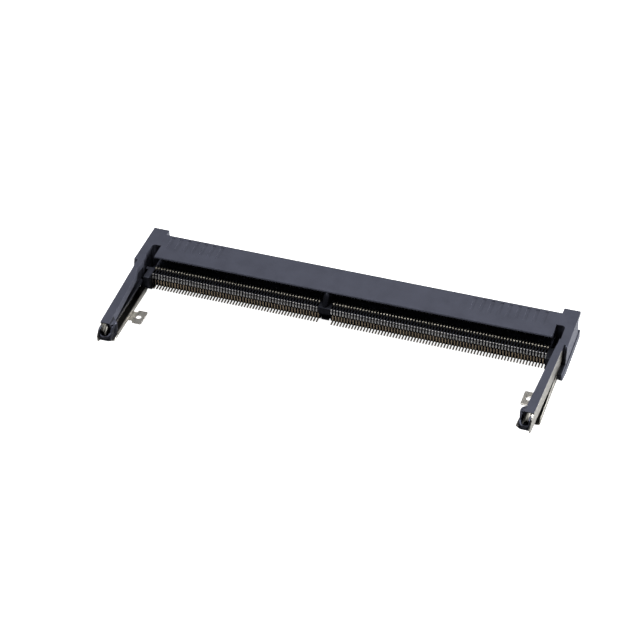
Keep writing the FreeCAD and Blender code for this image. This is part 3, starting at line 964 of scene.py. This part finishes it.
def arm_outer_x(y):
    """The outer face of an arm, which draws in a little towards its tip."""
    return ARM_OUTER_X - ARM_TAPER * (PIVOT.y - y) / (PIVOT.y - ARM_END_Y)


def handed(bm, sign):
    """The mesh of the right side, or its mirror image for the left."""
    for vert in bm.verts:
        vert.co.x *= sign
    return bm


# %% Arms: close-fitting root, domed stud, cup rim, narrow left neck and trimmed nose
STUD_CENTRE = Vector((33.78, -21.25))
STUD_PROFILE = [(0.74, 3.1), (0.74, 4.3), (0.68, 4.52), (0.54, 4.68), (0.3, 4.76), (0.08, 4.78)]
STUD_SIDES = 20
RIM_PATH = [(33.42, -21.5, 4.9), (33.25, -21.94, 4.6), (33.42, -22.6, 3.98), (33.5, -23.2, 3.76),
            (33.75, -23.68, 3.6), (34.2, -23.8, 3.52), (34.8, -23.78, 3.62), (35.08, -23.5, 3.85)]
RIM_WIDTH = 0.26
RIM_DEPTH = 0.35
NECK_FULL_Y = -7.8
NECK_END_Y = -9.8
NECK_DRAW = 0.4
NOSE_ZONE = (-23.4, 3.4)
NOSE_LIMIT_Y = -23.72
NOSE_FLOOR_Z = 2.62
PLUG_BELOW_TOP = 0.012
PLUG_LOW_Z = 5.1


def add_root_plug(bm, sign):
    """A tapered plug that fills the rounded rim of the seat round the arm's root."""
    rings = []
    for radius, z in ((SEAT_RADIUS, PLUG_LOW_Z), (PLUG_RADIUS, top_z - PLUG_BELOW_TOP)):
        ring = [(sign * (PIVOT.x - 0.45), PIVOT.y - 0.15, z), (sign * (PIVOT.x + 0.5), PIVOT.y - 0.15, z)]
        for i in range(15):
            turn = math.radians(10 * i)
            ring.append((sign * (PIVOT.x + radius * math.cos(turn)), PIVOT.y + radius * math.sin(turn), z))
        rings.append(ring)
    loft(bm, rings)


def add_stud(bm, sign):
    """The domed stud that fills the notch in the module's side."""
    rings = []
    for radius, z in STUD_PROFILE:
        ring = []
        for i in range(STUD_SIDES):
            turn = 2 * math.pi * i / STUD_SIDES
            ring.append((sign * (STUD_CENTRE.x + radius * math.cos(turn)),
                         STUD_CENTRE.y + radius * math.sin(turn), z))
        rings.append(ring)
    loft(bm, rings)


def add_rim(bm, sign):
    """The rim of the cup at the tip: a flat-topped wall that runs down and round the front."""
    rings = []
    for i, point in enumerate(RIM_PATH):
        before = Vector(RIM_PATH[max(i - 1, 0)])
        after = Vector(RIM_PATH[min(i + 1, len(RIM_PATH) - 1)])
        heading = (after - before).xy.normalized()
        side = Vector((-heading.y, heading.x)) * RIM_WIDTH / 2
        x, y, z = point
        rings.append([(sign * (x - side.x), y - side.y, z), (sign * (x + side.x), y + side.y, z),
                      (sign * (x + side.x), y + side.y, z - RIM_DEPTH),
                      (sign * (x - side.x), y - side.y, z - RIM_DEPTH)])
    loft(bm, rings)


def narrow_neck(bm):
    """Draws the lip back beside the root, where the arm bends."""
    for cut_y in (NECK_FULL_Y, NECK_END_Y):
        cut_across(bm, cut_y)
    for vert in bm.verts:
        x, y, z = (value / MM for value in vert.co)
        if z > 4.2 and NECK_FULL_Y - 0.01 < y < PIVOT.y - 0.3 and abs(x) < PIVOT.x - 0.2:
            vert.co.x += math.copysign(NECK_DRAW, x) * MM


def trim_nose(bm):
    """Moves the arm's nose back and up, under the rim."""
    for vert in bm.verts:
        y, z = vert.co.y / MM, vert.co.z / MM
        if y < NOSE_ZONE[0] and z < NOSE_ZONE[1]:
            vert.co.y = max(y, NOSE_LIMIT_Y) * MM
            vert.co.z = max(z, NOSE_FLOOR_Z) * MM


def add_details(bm, sign):
    add_root_plug(bm, sign)
    add_stud(bm, sign)
    add_rim(bm, sign)


for side, sign in SIDES:
    arm = model_copy("latch_arm_" + side)
    trim_nose(arm)
    if side == "left":
        narrow_neck(arm)
    dressed("plastic_arm_" + side, arm, arm_plastic, 0.06, side + "_latch",
            ["latch_arm_" + side], late=lambda bm, sign=sign: add_details(bm, sign))

# %% Springs: side plate, rolled hook and flange
SHEET = 0.2
PLATE_TOP_Z = 5.0
PLATE_LOW_Z = 2.34
FLANGE_Z = 2.28
PLATE_BACK_Y = -6.32
FLANGE_BACK_Y = -21.2
PLATE_FRONT_Y = -24.2
FLANGE_FRONT_Y = -23.35
FLANGE_INNER_X = 32.9
HOOK_INNER_X = 34.0
HOOK_TOP_Z = 5.14
HOOK_LOW_Z = 4.4
HOOK_ROLL = 0.52
HOOK_BACK_Y = -22.3
HOOK_FRONT_Y = -23.25
HOOK_CUT_Y = -23.5
HOOK_OUTER_X = 35.4
HOOK_SLANT = 0.4
HOOK_DROP = 0.55
FLANGE_CORNER_X = 34
FLANGE_SLANT = 0.35
LEAN = 0.034
SAME_PLACE = 0.001


def side_plate(bm):
    """The plate on the outside of the arm: a long outline in Y and Z with the thickness in X."""
    outline = rounded([
        (PLATE_BACK_Y, PLATE_LOW_Z, 0.1),
        (PLATE_BACK_Y, PLATE_TOP_Z, 0.1),
        (HOOK_BACK_Y, PLATE_TOP_Z, 0),
        (HOOK_BACK_Y, HOOK_TOP_Z - HOOK_ROLL, 0),
        (-23.28, HOOK_TOP_Z - HOOK_ROLL, 0.1),
        (PLATE_FRONT_Y - 0.1, 3.6, 0.3),
        (PLATE_FRONT_Y, FLANGE_Z + 0.3, 0.3),
        (FLANGE_FRONT_Y, FLANGE_Z, 0.15),
        (FLANGE_BACK_Y, FLANGE_Z, 0),
        (FLANGE_BACK_Y + 0.3, PLATE_LOW_Z, 0),
    ], steps=4)
    outer = [bm.verts.new((arm_outer_x(p.x) * MM, p.x * MM, p.y * MM)) for p in outline]
    inner = [bm.verts.new(((arm_outer_x(p.x) - SHEET) * MM, p.x * MM, p.y * MM)) for p in outline]
    capped(bm, outer, inner)


def rolled_hook(bm):
    """The strip that rolls from the plate over the tip, its front edge cut slanting."""
    x = arm_outer_x(HOOK_BACK_Y) - SHEET / 2
    centre = rounded([
        (x, HOOK_TOP_Z - HOOK_ROLL - 0.5, 0),
        (x, HOOK_TOP_Z - SHEET / 2, HOOK_ROLL),
        (HOOK_INNER_X + SHEET / 2, HOOK_TOP_Z - SHEET / 2, HOOK_ROLL),
        (HOOK_INNER_X + SHEET / 2, HOOK_LOW_Z, 0),
    ], closed=False, steps=8)
    solid_along(bm, strip_outline(centre, SHEET), HOOK_BACK_Y, HOOK_CUT_Y, lean=LEAN)
    for vert in bm.verts:
        x, y, z = (value / MM for value in vert.co)
        if abs(y - HOOK_CUT_Y) < SAME_PLACE and z > HOOK_LOW_Z - 0.3:
            vert.co.y = (HOOK_FRONT_Y - HOOK_SLANT * (HOOK_OUTER_X - x)) * MM
            vert.co.z -= HOOK_DROP * MM


def flange(bm):
    """The flange that turns in under the tip and curls up at its inner edge."""
    x = arm_outer_x(FLANGE_FRONT_Y) - SHEET / 2
    centre = rounded([
        (x, FLANGE_Z + 0.7, 0),
        (x, FLANGE_Z + SHEET / 2, 0.25),
        (FLANGE_INNER_X + 0.3, FLANGE_Z + SHEET / 2, 0.15),
        (FLANGE_INNER_X + 0.02, FLANGE_Z + SHEET * 1.3, 0),
    ], closed=False, steps=5)
    solid_along(bm, strip_outline(centre, SHEET), FLANGE_BACK_Y, FLANGE_FRONT_Y, lean=LEAN)
    for vert in bm.verts:
        x, y, z = (value / MM for value in vert.co)
        if abs(y - FLANGE_FRONT_Y) < SAME_PLACE and x < FLANGE_CORNER_X and z < FLANGE_Z + 0.5:
            vert.co.y = (FLANGE_FRONT_Y + FLANGE_SLANT * (FLANGE_CORNER_X - x)) * MM


for side, sign in SIDES:
    bm = bmesh.new()
    side_plate(bm)
    rolled_hook(bm)
    flange(bm)
    dressed("arm_spring_" + side, handed(bm, sign), latch_metal, 0.03, side + "_latch",
            ["latch_spring_" + side])

# %% Hold-downs: a bent channel with an anchor and a tab
CHANNEL_OUTER_X = 35.85
CHANNEL_INNER_X = 33.95
CHANNEL_FRONT_Y = -19.2
CHANNEL_BACK_Y = -7.25
INNER_FRONT_Y = -20.2
ANCHOR_BACK_Y = -4.0
SHEET_BACK_Y = -6.2
OUTER_WALL_Z = 1.9
INNER_WALL_Z = 1.05
BEND = 0.3
FRONT_CORNER = 0.5
BACK_SHEET_X = (34.2, 35.7)
ANCHOR_LOW_Z = 0.4
TAB_CENTRE_Y = -13.8
TAB_REACH = 1.6
NECK_REACH = 1.1
TAB_INNER_X = 31.7
TAB_OUTER_X = 33.35
HOLE_CENTRE_X = 32.7
HOLE_RADIUS = 0.45


def bent_channel(bm):
    """The U-shaped channel, then its longer inner wall, then the anchor at the back."""
    half = SHEET / 2
    inner_wall = [(CHANNEL_INNER_X + half, half, BEND), (CHANNEL_INNER_X + half, INNER_WALL_Z, 0)]
    centre = rounded([
        (CHANNEL_OUTER_X - half, OUTER_WALL_Z, 0),
        (CHANNEL_OUTER_X - half, half, BEND),
        *inner_wall,
    ], closed=False, steps=5)
    solid_along(bm, strip_outline(centre, SHEET), CHANNEL_FRONT_Y, CHANNEL_BACK_Y)
    foot = rounded([(CHANNEL_INNER_X + 0.6, half, 0), *inner_wall], closed=False, steps=5)
    solid_along(bm, strip_outline(foot, SHEET), INNER_FRONT_Y, CHANNEL_FRONT_Y)
    low, high = BACK_SHEET_X
    sheet = [Vector(point) for point in ((low, 0), (high, 0), (high, SHEET), (low, SHEET))]
    solid_along(bm, sheet, CHANNEL_BACK_Y, SHEET_BACK_Y)
    anchor = [Vector(point) for point in ((CHANNEL_OUTER_X, ANCHOR_LOW_Z), (CHANNEL_OUTER_X, OUTER_WALL_Z),
                                          (CHANNEL_OUTER_X - SHEET, OUTER_WALL_Z),
                                          (CHANNEL_OUTER_X - SHEET, ANCHOR_LOW_Z))]
    solid_along(bm, anchor, CHANNEL_BACK_Y, ANCHOR_BACK_Y)
    for vert in bm.verts:
        y, z = vert.co.y / MM, vert.co.z / MM
        if z > OUTER_WALL_Z - 0.01 and abs(y - CHANNEL_FRONT_Y) < SAME_PLACE:
            vert.co.z -= FRONT_CORNER * MM


def solder_tab(bm):
    """The flat tab with its neck, rounded corners and hole."""
    y = TAB_CENTRE_Y
    outline = rounded([
        (CHANNEL_INNER_X + 0.3, y - NECK_REACH, 0),
        (CHANNEL_INNER_X + 0.3, y + NECK_REACH, 0),
        (TAB_OUTER_X, y + NECK_REACH, 0.2),
        (TAB_OUTER_X, y + TAB_REACH, 0.2),
        (TAB_INNER_X, y + TAB_REACH, 0.25),
        (TAB_INNER_X, y - TAB_REACH, 0.25),
        (TAB_OUTER_X, y - TAB_REACH, 0.2),
        (TAB_OUTER_X, y - NECK_REACH, 0.2),
    ], steps=4)
    hole = [Vector((HOLE_CENTRE_X + HOLE_RADIUS * math.cos(turn), y + HOLE_RADIUS * math.sin(turn)))
            for turn in (2 * math.pi * i / 20 for i in range(20))]
    edges = []
    for run in (outline, hole):
        verts = [bm.verts.new((p.x * MM, p.y * MM, 0)) for p in run]
        edges += [bm.edges.new((verts[i], verts[(i + 1) % len(verts)])) for i in range(len(verts))]
    filled = bmesh.ops.triangle_fill(bm, use_beauty=True, use_dissolve=True, edges=edges)
    faces = [item for item in filled["geom"] if isinstance(item, bmesh.types.BMFace)]
    grown = bmesh.ops.extrude_face_region(bm, geom=faces, use_keep_orig=True)
    for item in grown["geom"]:
        if isinstance(item, bmesh.types.BMVert):
            item.co.z += SHEET * MM


for side, sign in SIDES:
    bm = bmesh.new()
    bent_channel(bm)
    solder_tab(bm)
    dressed("board_strap_" + side, handed(bm, sign), hold_down_metal, 0.08, "socket",
            ["hold_down_" + side])

# %% [markdown]
# ## Floor, light and camera
#
# The photograph is a tabletop shot on white: the ground is brighter than paper, so it holds no
# visible shadow, and light comes from all round. The floor and the sky add light to what the
# camera sees of them, and the pieces are lit by their plain values. The camera was worked out
# from places whose real size is known, such as the two rows of contacts.

# %% White floor, paler to the camera than to the pieces, with painted shade in the bay between the arms
FLOOR_SIZE = 3.0
FLOOR_Z = -0.02
FLOOR_LIFT = 1.0
PALENESS = 0.85
PAINTED_BAY_SHADE = 0.4
BAY_SIDE_X = (32.0, 34.0)
BAY_BACK_Y = (-4.0, 0.0)
bm = bmesh.new()
bmesh.ops.create_grid(bm, x_segments=1, y_segments=1, size=FLOOR_SIZE / 2,
                      matrix=Matrix.Translation((0, 0, FLOOR_Z * MM)))
paper, paper_tree, paper_shader = new_material("white_paper", Roughness=0.9, Emission_Color=(1, 1, 1, 1))
spot = axes_of(paper_tree, object_place(paper_tree))
# Painted shade on the floor in the bay between the arms, in front of the bar, which only reflections see.
beside = between(paper_tree, calc(paper_tree, "ABSOLUTE", spot["X"]), BAY_SIDE_X)
behind = between(paper_tree, spot["Y"], BAY_BACK_Y)
open_floor = calc(paper_tree, "MAXIMUM", beside, behind)
paleness = ramp(paper_tree, open_floor, 0.0, 1.0, PAINTED_BAY_SHADE, PALENESS)
seen = add(paper_tree, "ShaderNodeLightPath")
lift = calc(paper_tree, "MULTIPLY", seen.outputs["Is Camera Ray"], FLOOR_LIFT)
link(paper_tree, paleness, paper_shader.inputs["Base Color"])
link(paper_tree, lift, paper_shader.inputs["Emission Strength"])
floor = finished("floor", bm, paper)

# %% Soft light: a tent that is bright overhead, a little dimmer at the sides and dim in front
HORIZON = 1.5
ZENITH = 2.0
FRONT = 0.5
world = bpy.data.worlds.new("tent")
world.use_nodes = True
sky = world.node_tree
parts = axes_of(sky, add(sky, "ShaderNodeTexCoord").outputs["Generated"])
rise = ramp(sky, parts["Z"], 0.0, 1.0, HORIZON, ZENITH, "SMOOTHSTEP")
front = ramp(sky, parts["Y"], -0.9, 0.1, FRONT, 1.0, "SMOOTHSTEP")
both = calc(sky, "MULTIPLY", rise, front)
looking = add(sky, "ShaderNodeLightPath")
shown = add(sky, "ShaderNodeMix", data_type="FLOAT", values={"B": 1.0})
link(sky, looking.outputs["Is Camera Ray"], shown.inputs["Factor"])
link(sky, both, shown.inputs["A"])
link(sky, shown.outputs["Result"], sky.nodes["Background"].inputs["Strength"])
bpy.context.scene.world = world


def soft_box(name, place, size, power):
    """A square soft light that faces the middle of the socket."""
    lamp = bpy.data.lights.new(name, "AREA")
    lamp.size = size
    lamp.energy = power
    made = bpy.data.objects.new(name, lamp)
    made.location = place
    made.rotation_euler = (-Vector(place)).to_track_quat("-Z", "Y").to_euler()
    bpy.context.scene.collection.objects.link(made)


SOFT_BOX_SIZE = 0.35
soft_box("tent_top", (-0.05, 0.05, 0.5), SOFT_BOX_SIZE, power=2.0)
soft_box("tent_right", (0.45, 0.3, 0.16), SOFT_BOX_SIZE, power=5.0)

# %% Camera
CAMERA_AZIMUTH = math.radians(19.1983)
CAMERA_ELEVATION = math.radians(39.3427)
CAMERA_ROLL = math.radians(-0.8871)
CAMERA_DISTANCE = 334.5704 * MM
CAMERA_TARGET = Vector((-3.5617, -7.6082, 2.0)) * MM
FOCAL_PIXELS = 2075.8242
PICTURE_PIXELS = 640
SENSOR_WIDTH = 36.0

back = Vector((math.sin(CAMERA_AZIMUTH) * math.cos(CAMERA_ELEVATION),
               -math.cos(CAMERA_AZIMUTH) * math.cos(CAMERA_ELEVATION),
               math.sin(CAMERA_ELEVATION)))
level = Vector((math.cos(CAMERA_AZIMUTH), math.sin(CAMERA_AZIMUTH), 0))
upright = back.cross(level)
right = math.cos(CAMERA_ROLL) * level + math.sin(CAMERA_ROLL) * upright
up = math.cos(CAMERA_ROLL) * upright - math.sin(CAMERA_ROLL) * level
lens = bpy.data.cameras.new("camera")
lens.sensor_width = SENSOR_WIDTH
lens.lens = FOCAL_PIXELS * SENSOR_WIDTH / PICTURE_PIXELS
lens.clip_start = 0.01
camera = bpy.data.objects.new("camera", lens)
camera.matrix_world = Matrix((
    (right.x, up.x, back.x, 0),
    (right.y, up.y, back.y, 0),
    (right.z, up.z, back.z, 0),
    (0, 0, 0, 1)))
camera.location = CAMERA_TARGET + back * CAMERA_DISTANCE
bpy.context.scene.collection.objects.link(camera)
bpy.context.scene.camera = camera
bpy.context.scene.view_settings.view_transform = "Standard"
